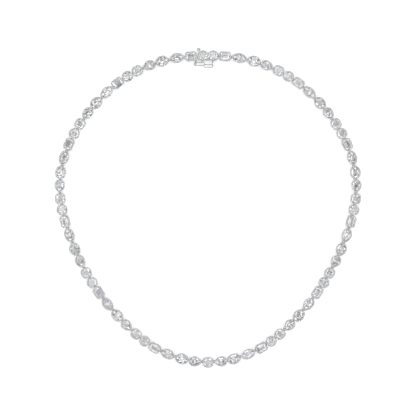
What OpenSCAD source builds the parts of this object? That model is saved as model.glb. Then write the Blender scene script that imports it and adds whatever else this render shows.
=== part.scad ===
/* [Settings] */
// Length of the emerald-cut bezel, along the chain
emerald_l = 5.4; // [5.2:0.05:5.6]
// Width of the emerald-cut bezel
emerald_w = 4.45; // [4.3:0.05:4.7]
// Length of the marquise bezel
marquise_l = 7; // [6.8:0.05:7.3]
// Width of the marquise bezel
marquise_w = 4.6; // [4.4:0.05:4.7]
// Length of the oval bezel
oval_l = 6.1; // [5.9:0.05:6.3]
// Width of the oval bezel
oval_w = 5; // [4.8:0.05:5.1]
// Length of the pear bezel
pear_l = 5.85; // [5.7:0.05:6.1]
// Width of the pear bezel
pear_w = 4.7; // [4.6:0.05:4.8]
// Length and width of the cushion bezel
cushion_l = 4.85; // [4.7:0.05:5]
// Diameter of the round bezel
round_d = 5; // [4.9:0.05:5.1]
// Height of a bezel above the surface that it rests on
bezel_h = 3.15; // [3.1:0.05:3.4]
// Width of the metal rim that shows round each stone
rim_w = 0.55; // [0.5:0.01:0.6]

/* [Chain] */
// Full runs of six cuts on each side of the necklace
runs = 5; // [4:1:6]
// Diameter of the wire of the eyes
eye_wire = 0.4; // [0.36:0.01:0.42]
// Height of the middle of the eyes
eye_z = 0.85; // [0.8:0.01:0.88]

/* [Clasp] */
// How much higher than the other bezels the two on the clasp box stand
clasp_lift = 0.35; // [0.33:0.01:0.5]
// Distance between the two stones on the clasp box
clasp_pitch = 4.6; // [4.5:0.05:4.7]
// Diameter of the wire of the safety catch
catch_wire = 0.4; // [0.36:0.01:0.42]
// Diameter of the ball that the safety catch closes over
ball_d = 0.8; // [0.7:0.01:0.84]
// How far the thumb tab stands out from the middle line of the clasp
tab_reach = 3.92; // [3.7:0.01:4.2]

/* [Hidden] */
$fn = 48;
metal = [0.86, 0.87, 0.88];
crystal = [0.93, 0.96, 0.98];

// The six cuts in the order in which they leave the clasp
EMERALD = 0;
MARQUISE = 1;
OVAL = 2;
PEAR = 3;
CUSHION = 4;
ROUND = 5;
// Columns: length, width, gap to the rim of the next bezel
LENGTH = 0;
WIDTH = 1;
GAP = 2;
CUTS = [
    [emerald_l, emerald_w, 0.25],
    [marquise_l, marquise_w, 0.23],
    [oval_l, oval_w, 0.16],
    [pear_l, pear_w, 0.35],
    [cushion_l, cushion_l, 0.14],
    [round_d, round_d, 0.14],
];

// Shapes of the outlines: the cut off the emerald's corners, and the radii of the others' ends and sides
emerald_corner = 0.85;
marquise_end_r = 0.7;
oval_end_r = 2;
pear_end_r = 0.7;
pear_side_r = 4.2;
cushion_corner_r = 1.6;
cushion_side_r = 5.3;
seam = 0.004;

// Insets from the outline of a bezel to its inner and outer walls
lip_in = rim_w;
stone_in = rim_w - 0.1;
groove_in = rim_w - 0.22;
seat_in = rim_w;
gallery_out = 0.6;
gallery_in = 0.88;
edge_in = 0.12;

// Heights, from the surface upward
collar_z = 1.65;
flange_z = bezel_h - 1.28;
seat_z = bezel_h - 0.85;
girdle_z = bezel_h - 0.57;
girdle_h = 0.1;
lip_z = bezel_h - 0.25;
edge_z = bezel_h - 0.15;

// Proportions of a brilliant cut, as shares of its half width
table_share = 0.57;
crown_share = 0.29;
pavilion_share = 0.84;
star_share = 0.8;
lower_share = 0.22;
// Long stones end below in a keel: its reach, as a multiple of how far they go beyond their half width, and
// the least reach beyond it that gives them one
keel_share = 1.35;
keel_least = 0.1;

// Steps of a step cut, from the table down: inset from the girdle and height over or depth under it
INSET = 0;
RISE = 1;
CROWN_STEPS = [[0.36, 1], [0.16, 0.5]];
PAVILION_STEPS = [[0.34, 0.36], [0.66, 0.76]];
step_corner = 0.15;
keel_extra = 0.35;

// Eyes: how far the bend of each passes the middle of the joint, the radii of the two bends, and their legs
eye_pass = 0.29;
upright_r = 0.55;
level_r = 0.6;
eye_leg = 2;
box_eye_leg = 0.6;

// How far joined shapes run into each other, and how far cutting shapes run past the metal
weld = 0.2;
margin = 1;

// Clasp box
box_end = 4.25;
box_mouth = 4.35;
box_half_w = 1.95;
box_corner = 0.5;
floor_z = 0.25;
cavity_z = 1.25;
box_top = 1.65;
cavity_half_w = 1.5;
cavity_end = 3.2;
notch_end = 3.25;
lip_w = 0.3;
lip_bottom = 0.85;
culet_hole_r = 0.75;
cup_r = 1.05;
cup_z = 1.92;

// Tongue, which lies in the box under the stones
mouth_gap = 0.1;
leaf_h = 0.2;
leaf_z = 0.33;
leaf_half_w = 1.25;
root_h = 0.42;
root_x = 6.3;
root_half_w = 1.1;
nose_x = 2.95;
nose_w = 0.35;
nose_h = 0.5;
spring_rise = 2.6;
spring_x = 2.45;
spring_z = 0.63;
spring_end = 6.35;
arm_w = 0.5;
tab_w = 1.6;
tab_h = 0.6;
tab_inner = 2.5;
lobe_r = 0.42;

// Ball stud and safety catch
stud_x = -5.5;
stud_y = -3.43;
ear_w = 0.95;
ear_reach = 3.9;
post_r = 0.25;
catch_z = 1.25;
ball_z = 1.85;
loop_r = 0.675;
loop_left = -5.6;
loop_right = -2.3;
ring_r = 0.62;
ring_y = -4.3;
ring_left = -1.2;
hinge_x = 2.05;
knuckle_r = 0.475;
bore_r = 0.25;
knuckle_half = 0.32;
lug_w = 0.6;
lug_z = 0.4;
lug_h = 0.5;

// Half of the loop, from the clasp to the front, before it is scaled to the length of the chain
straight = 4.2;
// Columns: radius of the arc, degrees that it turns; the last arc closes the loop
RADIUS = 0;
TURN = 1;
ARCS = [
    [60.7, 43.1],
    [75.1, 21.2],
    [46.1, 38.2],
    [104.4, 38.0],
];

function total(list, n) = n <= 0 ? 0 : list[n - 1][TURN] + total(list, n - 1);
function arc_x(i) = ARCS[i][RADIUS] * (sin(total(ARCS, i + 1)) - sin(total(ARCS, i)));
function arcs_x(n) = n <= 0 ? straight : arc_x(n - 1) + arcs_x(n - 1);
turned = total(ARCS, len(ARCS));
front_r = arcs_x(len(ARCS)) / sin(turned);
arcs = concat(ARCS, [[front_r, 180 - turned]]);
function arc_length(arc) = arc[RADIUS] * arc[TURN] * PI / 180;
function arcs_length(n) = n <= 0 ? straight : arc_length(arcs[n - 1]) + arcs_length(n - 1);
drawn_half = arcs_length(len(arcs));

// Links, numbered clockwise from the clasp box; the middle one is at the front
middle = 6 * runs + CUSHION;
last = 2 * middle;
function cut_of(k) = k <= middle ? k % 6 : (last - k) % 6;
function joint_gap(k) =
    k > middle ? joint_gap(last + 1 - k) : k == 0 ? CUTS[ROUND][GAP] : CUTS[cut_of(k - 1)][GAP];
function link_length(k) = CUTS[cut_of(k)][LENGTH];
function span(k) = joint_gap(k) / 2 + link_length(k) + joint_gap(k + 1) / 2;
first_joint = clasp_pitch / 2 + round_d / 2 + joint_gap(0) / 2;
joints = [for (k = 0, s = first_joint; k <= last + 1; s = s + span(min(k, last)), k = k + 1) s];
half_length = joints[middle] + joint_gap(middle) / 2 + link_length(middle) / 2;
path_scale = half_length / drawn_half;

// A point of the loop, at a distance along it from the middle of the clasp
function along(s, i = 0, p = [straight * path_scale, 0], heading = 0) =
    let (r = arcs[i][RADIUS] * path_scale)
    let (turn = arcs[i][TURN])
    let (reach = r * turn * PI / 180)
    let (a = i == len(arcs) - 1 || s < reach ? s / r * 180 / PI : turn)
    let (q = p + r * [sin(heading + a) - sin(heading), cos(heading + a) - cos(heading)])
    i == len(arcs) - 1 || s < reach ? q : along(s - reach, i + 1, q, heading + turn);
function half_point(s) = s <= straight * path_scale ? [s, 0] : along(s - straight * path_scale);
function loop_point(s) =
    s <= half_length ? half_point(s) : let (p = half_point(2 * half_length - s)) [-p[0], p[1]];
loop_depth = -half_point(half_length)[1];
// The loop is moved so that the origin is in the middle of everything
middle_y = (loop_depth + cushion_l / 2 - tab_reach) / 2;

// A long outline's side and end arcs: how far from its middle each is centred, and how far out they meet
function end_r(cut) = cut == MARQUISE ? marquise_end_r : oval_end_r;
function long_e(l, r) = l / 2 - r;
function long_f(l, w, r) = (pow(long_e(l, r), 2) - pow(w / 2 - r, 2)) / (w - 2 * r);
function long_x(l, w, r, g) =
    let (e = long_e(l, r))
    e + max(r - g, 0) * e / norm([e, long_f(l, w, r)]);

// A pear's round end, tip and side arcs: distance between the middles of its ends, the middle of a side arc
// from that of the round end, and how far out the side arcs begin and stop
function pear_shift(l, w) = (w - l) / 2;
function pear_d(l, w) = l - w / 2 - pear_end_r;
function pear_cx(l, w) =
    let (d = pear_d(l, w))
    (pow(pear_side_r - w / 2, 2) - pow(pear_side_r - pear_end_r, 2) + d * d) / (2 * d);
function pear_cy(l, w) = sqrt(pow(pear_side_r - w / 2, 2) - pow(pear_cx(l, w), 2));
function pear_from(l, w, g) = -pear_cx(l, w) * (w / 2 - g) / (pear_side_r - w / 2);
function pear_to(l, w, g) =
    let (d = pear_d(l, w))
    d + max(pear_end_r - g, 0) * (d - pear_cx(l, w)) / (pear_side_r - pear_end_r);

// A cushion's side and corner arcs: how far out both kinds are centred, and the angle at which they meet
function cushion_a(l) = l / 2 - cushion_side_r;
function cushion_c(l) =
    (cushion_a(l) + sqrt(2 * pow(cushion_side_r - cushion_corner_r, 2) - pow(cushion_a(l), 2))) / 2;
function cushion_turn(l) = atan2(cushion_c(l), cushion_c(l) - cushion_a(l));

// Outlines, each drawn inset by g, with the chain running along X
module emerald_outline(l, w, g) {
    x = l / 2 - g;
    y = w / 2 - g;
    c = emerald_corner - g * (2 - sqrt(2));
    polygon([
        [x, y - c], [x - c, y], [c - x, y], [-x, y - c],
        [-x, c - y], [c - x, -y], [x - c, -y], [x, c - y]
    ]);
}

module long_outline(l, w, r, g) {
    f = long_f(l, w, r);
    x = long_x(l, w, r, g);
    intersection() {
        translate([0, -f])
            circle(w / 2 + f - g);
        translate([0, f])
            circle(w / 2 + f - g);
        translate([-x, -w])
            square([2 * x, 2 * w]);
    }
    if (g < r)
        for (side = [-1, 1])
            translate([side * long_e(l, r), 0])
                circle(r - g + seam);
}

module pear_outline(l, w, g) {
    from = pear_from(l, w, g);
    translate([pear_shift(l, w), 0]) {
        circle(w / 2 - g + seam);
        intersection() {
            translate([pear_cx(l, w), -pear_cy(l, w)])
                circle(pear_side_r - g);
            translate([pear_cx(l, w), pear_cy(l, w)])
                circle(pear_side_r - g);
            translate([from, -w])
                square([pear_to(l, w, g) - from, 2 * w]);
        }
        if (g < pear_end_r)
            translate([pear_d(l, w), 0])
                circle(pear_end_r - g + seam);
    }
}

module cushion_outline(l, w, g) {
    c = cushion_c(l);
    turn = cushion_turn(l);
    r = cushion_corner_r - g;
    intersection() {
        intersection_for (side = [0:3])
            rotate(90 * side)
                translate([cushion_a(l), 0])
                    circle(cushion_side_r - g);
        rotate(45)
            square(sqrt(2) * (2 * c + r * (cos(turn) + sin(turn))), center = true);
    }
    for (side = [0:3])
        rotate(90 * side)
            translate([c, c])
                circle(r + seam);
}

module outline(cut, g) {
    l = CUTS[cut][LENGTH];
    w = CUTS[cut][WIDTH];
    if (cut == EMERALD) emerald_outline(l, w, g);
    if (cut == MARQUISE || cut == OVAL) long_outline(l, w, end_r(cut), g);
    if (cut == PEAR) pear_outline(l, w, g);
    if (cut == CUSHION) cushion_outline(l, w, g);
    if (cut == ROUND) circle(l / 2 - g);
}

module tier(cut, g, from, to) {
    translate([0, 0, from])
        linear_extrude(to - from)
            outline(cut, g);
}

// The collar of a bezel, with a stepped edge
module collar(cut, from) {
    tier(cut, 0, from, edge_z);
    tier(cut, edge_in, edge_z, bezel_h);
}

// The cup of a bezel: the collar over a narrower gallery
module cup(cut) {
    tier(cut, gallery_out, 0, collar_z);
    collar(cut, collar_z);
}

// The space in a bezel: the gallery's, the seat, the groove for the girdle, and the mouth inside the lip
module hollow(cut, from = -margin) {
    tier(cut, gallery_in, from, flange_z);
    tier(cut, seat_in, flange_z, seat_z);
    tier(cut, groove_in, seat_z, lip_z);
    tier(cut, lip_in, lip_z, bezel_h + margin);
}

// A wire eye lying level, with its bend at x = 0 and its legs toward -x
module level_eye(leg) {
    translate([-level_r, 0, eye_z]) {
        rotate(-90)
            rotate_extrude(angle = 180)
                translate([level_r, 0])
                    circle(eye_wire / 2);
        for (side = [-1, 1])
            translate([0, side * level_r, 0])
                rotate([0, -90, 0])
                    cylinder(leg, r = eye_wire / 2);
    }
}

// A wire eye standing upright, with its bend at x = 0 and its legs toward +x
module upright_eye(leg) {
    translate([upright_r, 0, eye_z]) {
        rotate([90, 0, 0])
            rotate(90)
                rotate_extrude(angle = 180)
                    translate([upright_r, 0])
                        circle(eye_wire / 2);
        for (side = [-1, 1])
            translate([0, 0, side * upright_r])
                rotate([0, 90, 0])
                    cylinder(leg, r = eye_wire / 2);
    }
}

// Puts a link's own frame, with the middle of its bezel at x = 0, on the chord between its two joints
module place(k) {
    p = loop_point(joints[k]);
    q = loop_point(joints[k + 1]);
    heading = atan2(q[1] - p[1], q[0] - p[0]);
    at = (joint_gap(k) + link_length(k)) / 2;
    translate([p[0] + at * cos(heading), p[1] + at * sin(heading) + middle_y, 0])
        rotate(heading)
            children();
}

module facing(k) {
    mirror([k > middle ? 1 : 0, 0, 0])
        children();
}

// A bezel link: its upright eye reaches back to the link before it and its level eye to the next one
module link(k, level = true) {
    half = link_length(k) / 2;
    place(k)
        difference() {
            union() {
                facing(k)
                    cup(cut_of(k));
                translate([-half - joint_gap(k) / 2 - eye_pass, 0, 0])
                    upright_eye(eye_leg);
                if (level)
                    translate([half + joint_gap(k + 1) / 2 + eye_pass, 0, 0])
                        level_eye(eye_leg);
            }
            facing(k)
                hollow(cut_of(k));
        }
}

// Distance from the point that a cut's facets are set out from to its outline inset by g, at angle a
function ray(cx, cy, r, a) =
    let (along_ray = cx * cos(a) + cy * sin(a))
    along_ray + sqrt(r * r - cx * cx - cy * cy + along_ray * along_ray);
function side_of(v) = v < 0 ? -1 : 1;
function long_edge(l, w, r, g, a) =
    let (f = long_f(l, w, r))
    let (hit = ray(0, -f * side_of(sin(a)), w / 2 + f - g, a))
    abs(hit * cos(a)) < long_x(l, w, r, g) ? hit : ray(long_e(l, r) * side_of(cos(a)), 0, r - g, a);
function pear_edge(l, w, g, a) =
    let (hit = ray(pear_cx(l, w), -pear_cy(l, w) * side_of(sin(a)), pear_side_r - g, a))
    let (x = hit * cos(a))
    x < pear_from(l, w, g) ? w / 2 - g :
    x < pear_to(l, w, g) ? hit :
    ray(pear_d(l, w), 0, pear_end_r - g, a);
function cushion_edge(l, g, a) =
    let (t = a - 90 * round(a / 90))
    let (c = cushion_c(l))
    let (r = cushion_corner_r - g)
    let (turn = cushion_turn(l))
    abs(t) < atan2(c + r * sin(turn), c + r * cos(turn)) ?
        ray(cushion_a(l), 0, cushion_side_r - g, t) :
        ray(c, c * side_of(t), r, t);
function edge(cut, g, a) =
    let (l = CUTS[cut][LENGTH])
    let (w = CUTS[cut][WIDTH])
    cut == MARQUISE || cut == OVAL ? long_edge(l, w, end_r(cut), g, a) :
    cut == PEAR ? pear_edge(l, w, g, a) :
    cut == CUSHION ? cushion_edge(l, g, a) :
    l / 2 - g;

// How far the keel of a stone reaches from the point that its facets are set out from, at angle 0 or 180
function keel_end(cut, a) =
    let (extra = edge(cut, stone_in, a) - (CUTS[cut][WIDTH] / 2 - stone_in))
    extra > keel_least ? keel_share * extra : 0;

// A ring of points on a brilliant: n points from the angle start, at a share of the way out to the girdle
function brilliant_ring(cut, n, start, share, z) =
    [for (i = [0:n - 1]) let (a = start + 360 * i / n) let (r = share * edge(cut, stone_in, a))
        [r * cos(a), r * sin(a), z]];

// The lowest ring, whose points lie at a share of the way out from the nearer end of the keel
function lower_ring(cut, z) =
    [for (i = [0:7]) let (a = 22.5 + 45 * i) let (r = lower_share * edge(cut, stone_in, a))
        let (x = (1 - lower_share) * (cos(a) > 0 ? keel_end(cut, 0) : -keel_end(cut, 180)))
        [x + r * cos(a), r * sin(a), z]];

// Triangles of a brilliant: its rings start at points 0 (table), 8 (stars), 16 and 32 (girdle), 48 (lower)
// and its keel has the right end 56 and, where it is more than a point, the left end 57
function nearer_end(i, keeled) = keeled && i > 1 && i < 6 ? 57 : 56;
function brilliant_faces(keeled) = concat(
    [for (i = [1:6]) [0, i + 1, i]],
    [for (i = [0:7]) [i, (i + 1) % 8, 8 + i]],
    [for (i = [0:7]) [i, 8 + i, 16 + 2 * i]],
    [for (i = [0:7]) [i, 16 + 2 * i, 8 + (i + 7) % 8]],
    [for (i = [0:7]) [8 + i, 17 + 2 * i, 16 + 2 * i]],
    [for (i = [0:7]) [8 + i, 16 + (2 * i + 2) % 16, 17 + 2 * i]],
    [for (i = [0:15]) [16 + i, 16 + (i + 1) % 16, 32 + i]],
    [for (i = [0:15]) [16 + (i + 1) % 16, 32 + (i + 1) % 16, 32 + i]],
    [for (i = [0:7]) [48 + i, 32 + 2 * i, 33 + 2 * i]],
    [for (i = [0:7]) [48 + i, 33 + 2 * i, 32 + (2 * i + 2) % 16]],
    [for (i = [0:7]) [48 + i, nearer_end(i, keeled), 32 + 2 * i]],
    [for (i = [0:7]) [48 + i, 32 + (2 * i + 2) % 16, nearer_end(i, keeled)]],
    keeled ? [[36, 57, 56], [44, 56, 57]] : []
);

module brilliant(cut) {
    half_w = CUTS[cut][WIDTH] / 2 - stone_in;
    crown = crown_share * half_w;
    depth = pavilion_share * half_w;
    top = girdle_z + girdle_h;
    star = crown * (1 - star_share * cos(22.5)) / (1 - table_share);
    lower = depth * (1 - lower_share * cos(22.5));
    keeled = keel_end(cut, 0) > 0;
    points = concat(
        brilliant_ring(cut, 8, 0, table_share, top + crown),
        brilliant_ring(cut, 8, 22.5, star_share, top + star),
        brilliant_ring(cut, 16, 0, 1, top),
        brilliant_ring(cut, 16, 0, 1, girdle_z),
        lower_ring(cut, girdle_z - lower),
        [[keel_end(cut, 0), 0, girdle_z - depth]],
        keeled ? [[-keel_end(cut, 180), 0, girdle_z - depth]] : []
    );
    shift = cut == PEAR ? pear_shift(pear_l, pear_w) : 0;
    translate([shift, 0, 0])
        polyhedron(points, brilliant_faces(keeled));
}

// A ring of eight points on a step cut, inset by g from the bezel's outline
function step_ring(g, z) =
    let (x = emerald_l / 2 - g)
    let (y = emerald_w / 2 - g)
    let (c = max(emerald_corner - g * (2 - sqrt(2)), step_corner))
    [[x, y - c, z], [x - c, y, z], [c - x, y, z], [-x, y - c, z],
        [-x, c - y, z], [c - x, -y, z], [x - c, -y, z], [x, c - y, z]];

function band(a, b) = concat(
    [for (i = [0:7]) [a + i, a + (i + 1) % 8, b + i]],
    [for (i = [0:7]) [a + (i + 1) % 8, b + (i + 1) % 8, b + i]]
);

module step_cut() {
    half_w = emerald_w / 2 - stone_in;
    depth = pavilion_share * half_w;
    crown = crown_share * half_w;
    top = girdle_z + girdle_h;
    keel = (emerald_l - emerald_w) / 2 + keel_extra;
    points = concat(
        step_ring(stone_in + CROWN_STEPS[0][INSET] * half_w, top + CROWN_STEPS[0][RISE] * crown),
        step_ring(stone_in + CROWN_STEPS[1][INSET] * half_w, top + CROWN_STEPS[1][RISE] * crown),
        step_ring(stone_in, top),
        step_ring(stone_in, girdle_z),
        step_ring(stone_in + PAVILION_STEPS[0][INSET] * half_w, girdle_z - PAVILION_STEPS[0][RISE] * depth),
        step_ring(stone_in + PAVILION_STEPS[1][INSET] * half_w, girdle_z - PAVILION_STEPS[1][RISE] * depth),
        [[keel, 0, girdle_z - depth], [-keel, 0, girdle_z - depth]]
    );
    faces = concat(
        [for (i = [1:6]) [0, i + 1, i]],
        band(0, 8), band(8, 16), band(16, 24), band(24, 32), band(32, 40),
        [for (i = [1:4]) [40 + i, 41 + i, 49]],
        [for (i = [5:8]) [40 + i % 8, 40 + (i + 1) % 8, 48]],
        [[41, 49, 48], [45, 48, 49]]
    );
    polyhedron(points, faces);
}

module stone(cut) {
    if (cut == EMERALD) step_cut();
    else brilliant(cut);
}

module stones(from, to) {
    color(crystal)
        for (k = [from:to])
            place(k)
                facing(k)
                    stone(cut_of(k));
}

// The clasp's own frame has the middle of the box at x = 0
module clasp_frame() {
    translate([0, middle_y, 0])
        children();
}

module settings_right() {
    color(metal)
        for (k = [0:middle])
            link(k);
}

module settings_left() {
    color(metal)
        for (k = [middle + 1:last - 1])
            link(k);
}

module stones_right() {
    stones(0, middle);
}

module stones_left() {
    stones(middle + 1, last);
}

module clasp_stones() {
    color(crystal)
        clasp_frame()
            for (side = [-1, 1])
                translate([side * clasp_pitch / 2, 0, clasp_lift])
                    stone(ROUND);
}

module box_body() {
    c = box_corner;
    y = box_half_w;
    linear_extrude(box_top)
        polygon([[-box_mouth, -y], [box_end - c, -y], [box_end, c - y], [box_end, y - c], [box_end - c, y],
            [-box_mouth, y]]);
}

// The lug under the catch's end, and the knuckle that the catch's bar turns in
module knuckle() {
    translate([hinge_x - lug_w / 2, ring_y - knuckle_half, lug_z])
        cube([lug_w, -ring_y + knuckle_half - box_half_w + weld, lug_h]);
    translate([hinge_x, ring_y + knuckle_half, catch_z])
        rotate([90, 0, 0])
            cylinder(2 * knuckle_half, r = knuckle_r);
}

module box_spaces() {
    // Cavity for the tongue, open at the mouth under a lip
    translate([-box_mouth + lip_w, -cavity_half_w, floor_z])
        cube([box_mouth - lip_w + cavity_end, 2 * cavity_half_w, cavity_z - floor_z]);
    translate([-box_mouth - margin, -cavity_half_w, floor_z])
        cube([lip_w + 2 * margin, 2 * cavity_half_w, lip_bottom - floor_z]);
    // Notch that the thumb tab's arm leaves through
    translate([-box_mouth - margin, cavity_half_w - weld, floor_z])
        cube([box_mouth + margin - notch_end, box_half_w, cavity_z - floor_z]);
    for (side = [-1, 1])
        translate([side * clasp_pitch / 2, 0, 0]) {
            translate([0, 0, clasp_lift])
                hollow(ROUND, cup_z - clasp_lift);
            translate([0, 0, cavity_z - weld])
                cylinder(cup_z - cavity_z + weld, r = culet_hole_r);
            translate([0, 0, box_top])
                cylinder(cup_z - box_top, r = cup_r);
        }
    // Bore for the catch's bar
    translate([hinge_x, ring_y + margin, catch_z])
        rotate([90, 0, 0])
            cylinder(2 * margin, r = bore_r);
}

module clasp_box() {
    color(metal)
        clasp_frame()
            difference() {
                union() {
                    box_body();
                    for (side = [-1, 1])
                        translate([side * clasp_pitch / 2, 0, clasp_lift])
                            collar(ROUND, box_top - clasp_lift);
                    translate([first_joint + eye_pass, 0, 0])
                        level_eye(box_eye_leg);
                    knuckle();
                }
                box_spaces();
            }
}

// The tongue's root plate, lower leaf and folded nose
module tongue() {
    translate([-root_x, -root_half_w, leaf_z])
        cube([root_x - box_mouth - mouth_gap, 2 * root_half_w, root_h]);
    translate([-box_mouth - mouth_gap - weld, -leaf_half_w, leaf_z])
        cube([box_mouth + mouth_gap + weld + nose_x - nose_w / 2, 2 * leaf_half_w, leaf_h]);
    translate([nose_x - nose_w, -leaf_half_w, leaf_z])
        cube([nose_w, 2 * leaf_half_w, nose_h]);
}

module ball_stud() {
    translate([stud_x - ear_w / 2, -ear_reach, leaf_z])
        cube([ear_w, ear_reach, root_h]);
    translate([stud_x, stud_y, leaf_z + root_h / 2])
        cylinder(ball_z - leaf_z - root_h / 2, r = post_r);
    translate([stud_x, stud_y, ball_z])
        sphere(ball_d / 2);
}

module tongue_link() {
    color(metal)
        difference() {
            union() {
                clasp_frame() {
                    tongue();
                    ball_stud();
                }
                link(last, level = false);
            }
            place(last)
                facing(last)
                    tier(EMERALD, gallery_in, -margin, flange_z);
        }
}

// The sprung leaf, hinged at the tongue's fold, with its arm and its two-lobed thumb tab
module thumb_leaf() {
    color(metal)
        clasp_frame()
            translate([spring_x, 0, spring_z])
                rotate([0, spring_rise, 0]) {
                    translate([-spring_end, -leaf_half_w, 0])
                        cube([spring_end, 2 * leaf_half_w, leaf_h]);
                    translate([-spring_end, 0, 0])
                        cube([arm_w, tab_inner + weld, leaf_h]);
                    translate([-spring_end + arm_w - tab_w, tab_inner, (leaf_h - tab_h) / 2])
                        cube([tab_w, tab_reach - tab_inner - lobe_r, tab_h]);
                    for (side = [-1, 1])
                        translate([arm_w - spring_end - tab_w / 2 + side * lobe_r, tab_reach - lobe_r,
                            (leaf_h - tab_h) / 2])
                            cylinder(tab_h, r = lobe_r);
                }
}

module catch_bend(x, y, r, start) {
    translate([x, y, catch_z])
        rotate(start)
            rotate_extrude(angle = 180)
                translate([r, 0])
                    circle(catch_wire / 2);
}

module catch_run(x, y, l) {
    translate([x, y, catch_z])
        rotate([0, 90, 0])
            cylinder(l, r = catch_wire / 2);
}

// Two soldered wire rings: the loop round the ball stud, and the ring whose bar turns in the knuckle
module safety_catch() {
    color(metal)
        clasp_frame() {
            catch_bend(loop_left, stud_y, loop_r, 90);
            catch_bend(loop_right, stud_y, loop_r, -90);
            catch_bend(ring_left, ring_y, ring_r, 90);
            for (side = [-1, 1]) {
                catch_run(loop_left, stud_y + side * loop_r, loop_right - loop_left);
                catch_run(ring_left, ring_y + side * ring_r, hinge_x + catch_wire / 2 - ring_left);
            }
            translate([hinge_x, ring_y + ring_r, catch_z])
                rotate([90, 0, 0])
                    cylinder(2 * ring_r, r = catch_wire / 2);
        }
}

settings_right();
settings_left();
stones_right();
stones_left();
tongue_link();
clasp_box();
clasp_stones();
thumb_leaf();
safety_catch();
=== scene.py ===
"""Looks of a bezel-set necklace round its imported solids: bright settings, cut stones and a plain studio."""

import logging
import math
from collections.abc import Iterable, Sequence
from dataclasses import dataclass, field
from enum import Enum

import bpy
import numpy as np
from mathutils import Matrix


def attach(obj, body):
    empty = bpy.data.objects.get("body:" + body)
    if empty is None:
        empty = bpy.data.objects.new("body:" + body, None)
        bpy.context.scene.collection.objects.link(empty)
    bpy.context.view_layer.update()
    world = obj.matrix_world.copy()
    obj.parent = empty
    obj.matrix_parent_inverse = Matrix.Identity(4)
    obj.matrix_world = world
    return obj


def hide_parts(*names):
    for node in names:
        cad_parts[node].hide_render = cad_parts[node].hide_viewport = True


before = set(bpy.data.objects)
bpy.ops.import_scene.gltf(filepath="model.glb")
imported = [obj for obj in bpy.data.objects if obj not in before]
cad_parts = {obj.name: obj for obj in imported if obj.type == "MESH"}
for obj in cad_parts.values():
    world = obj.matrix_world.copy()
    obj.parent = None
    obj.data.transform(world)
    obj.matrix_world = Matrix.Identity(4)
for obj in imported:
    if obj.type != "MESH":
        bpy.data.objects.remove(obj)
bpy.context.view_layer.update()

LOG = logging.getLogger("necklace")
MM = 0.001
Faces = Sequence[Sequence[int]]


class Cut(Enum):
    """Outlines of the stones, in the order in which they leave the clasp."""

    EMERALD = 0
    MARQUISE = 1
    OVAL = 2
    PEAR = 3
    CUSHION = 4
    ROUND = 5


class Signal:
    """A shader socket on which Python's arithmetic adds Math nodes."""

    def __init__(self, graph: "ShaderGraph", socket: bpy.types.NodeSocket) -> None:
        """Wraps a socket.

        Args:
            graph: the graph that holds the socket's node.
            socket: an output socket.
        """
        self.graph = graph
        self.socket = socket

    def _math(self, operation: str, first: "Signal | float", second: "Signal | float") -> "Signal":
        """Adds one Math node.

        Args:
            operation: Blender's name of the operation.
            first: its first value.
            second: its second value.

        Returns:
            The node's result.
        """
        return self.graph.add("ShaderNodeMath", {"operation": operation}, {0: first, 1: second})

    def __add__(self, other: "Signal | float") -> "Signal":
        """Adds."""
        return self._math("ADD", self, other)

    def __radd__(self, other: float) -> "Signal":
        """Adds to a number."""
        return self._math("ADD", other, self)

    def __mul__(self, other: "Signal | float") -> "Signal":
        """Multiplies."""
        return self._math("MULTIPLY", self, other)

    def __rmul__(self, other: float) -> "Signal":
        """Multiplies a number."""
        return self._math("MULTIPLY", other, self)

    def __pow__(self, other: float) -> "Signal":
        """Raises to a power."""
        return self._math("POWER", self, other)


class ShaderGraph:
    """The node tree of a material or a world, emptied and filled again."""

    def __init__(self, tree: bpy.types.NodeTree) -> None:
        """Empties the tree.

        Args:
            tree: the node tree to fill.
        """
        self.tree = tree
        tree.nodes.clear()

    def add(
        self, kind: str, settings: dict | None = None, inputs: dict | None = None, output: int | str = 0
    ) -> Signal:
        """Adds a node of any type.

        Args:
            kind: Blender's name of the node's type.
            settings: the node's properties, which are set first; "stops" holds a ramp's places and colours.
            inputs: values or signals for its input sockets, by name or number.
            output: the output socket to return.

        Returns:
            The chosen output.
        """
        node = self.tree.nodes.new(kind)
        for key, value in (settings or {}).items():
            if key == "stops":
                self._set_stops(node.color_ramp, value)
            else:
                setattr(node, key, value)
        for key, value in (inputs or {}).items():
            if isinstance(value, Signal):
                self.tree.links.new(value.socket, node.inputs[key])
            else:
                node.inputs[key].default_value = value
        return Signal(self, node.outputs[output]) if node.outputs else Signal(self, None)

    @staticmethod
    def _set_stops(ramp: bpy.types.ColorRamp, stops: Sequence[tuple[float, tuple[float, ...]]]) -> None:
        """Places a ramp's stops.

        Args:
            ramp: the colour ramp.
            stops: the place and colour of each stop, two or more.
        """
        while len(ramp.elements) < len(stops):
            ramp.elements.new(1.0)
        for element, (place, colour) in zip(ramp.elements, stops):
            element.position = place
            element.color = colour


def grey(value: float) -> tuple[float, float, float, float]:
    """A grey of that brightness."""
    return (value, value, value, 1.0)


@dataclass(frozen=True)
class Finish:
    """A finish, which makes its own material."""

    def surface(self, graph: ShaderGraph) -> Signal:
        """Adds the finish's nodes.

        Args:
            graph: the material's nodes.

        Returns:
            Its shader.
        """
        raise NotImplementedError

    def material(self, name: str) -> bpy.types.Material:
        """Makes the material.

        Args:
            name: the material's name.

        Returns:
            The material.
        """
        made = bpy.data.materials.new(name)
        made.use_nodes = True
        graph = ShaderGraph(made.node_tree)
        graph.add("ShaderNodeOutputMaterial", None, {"Surface": self.surface(graph)})
        return made


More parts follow.
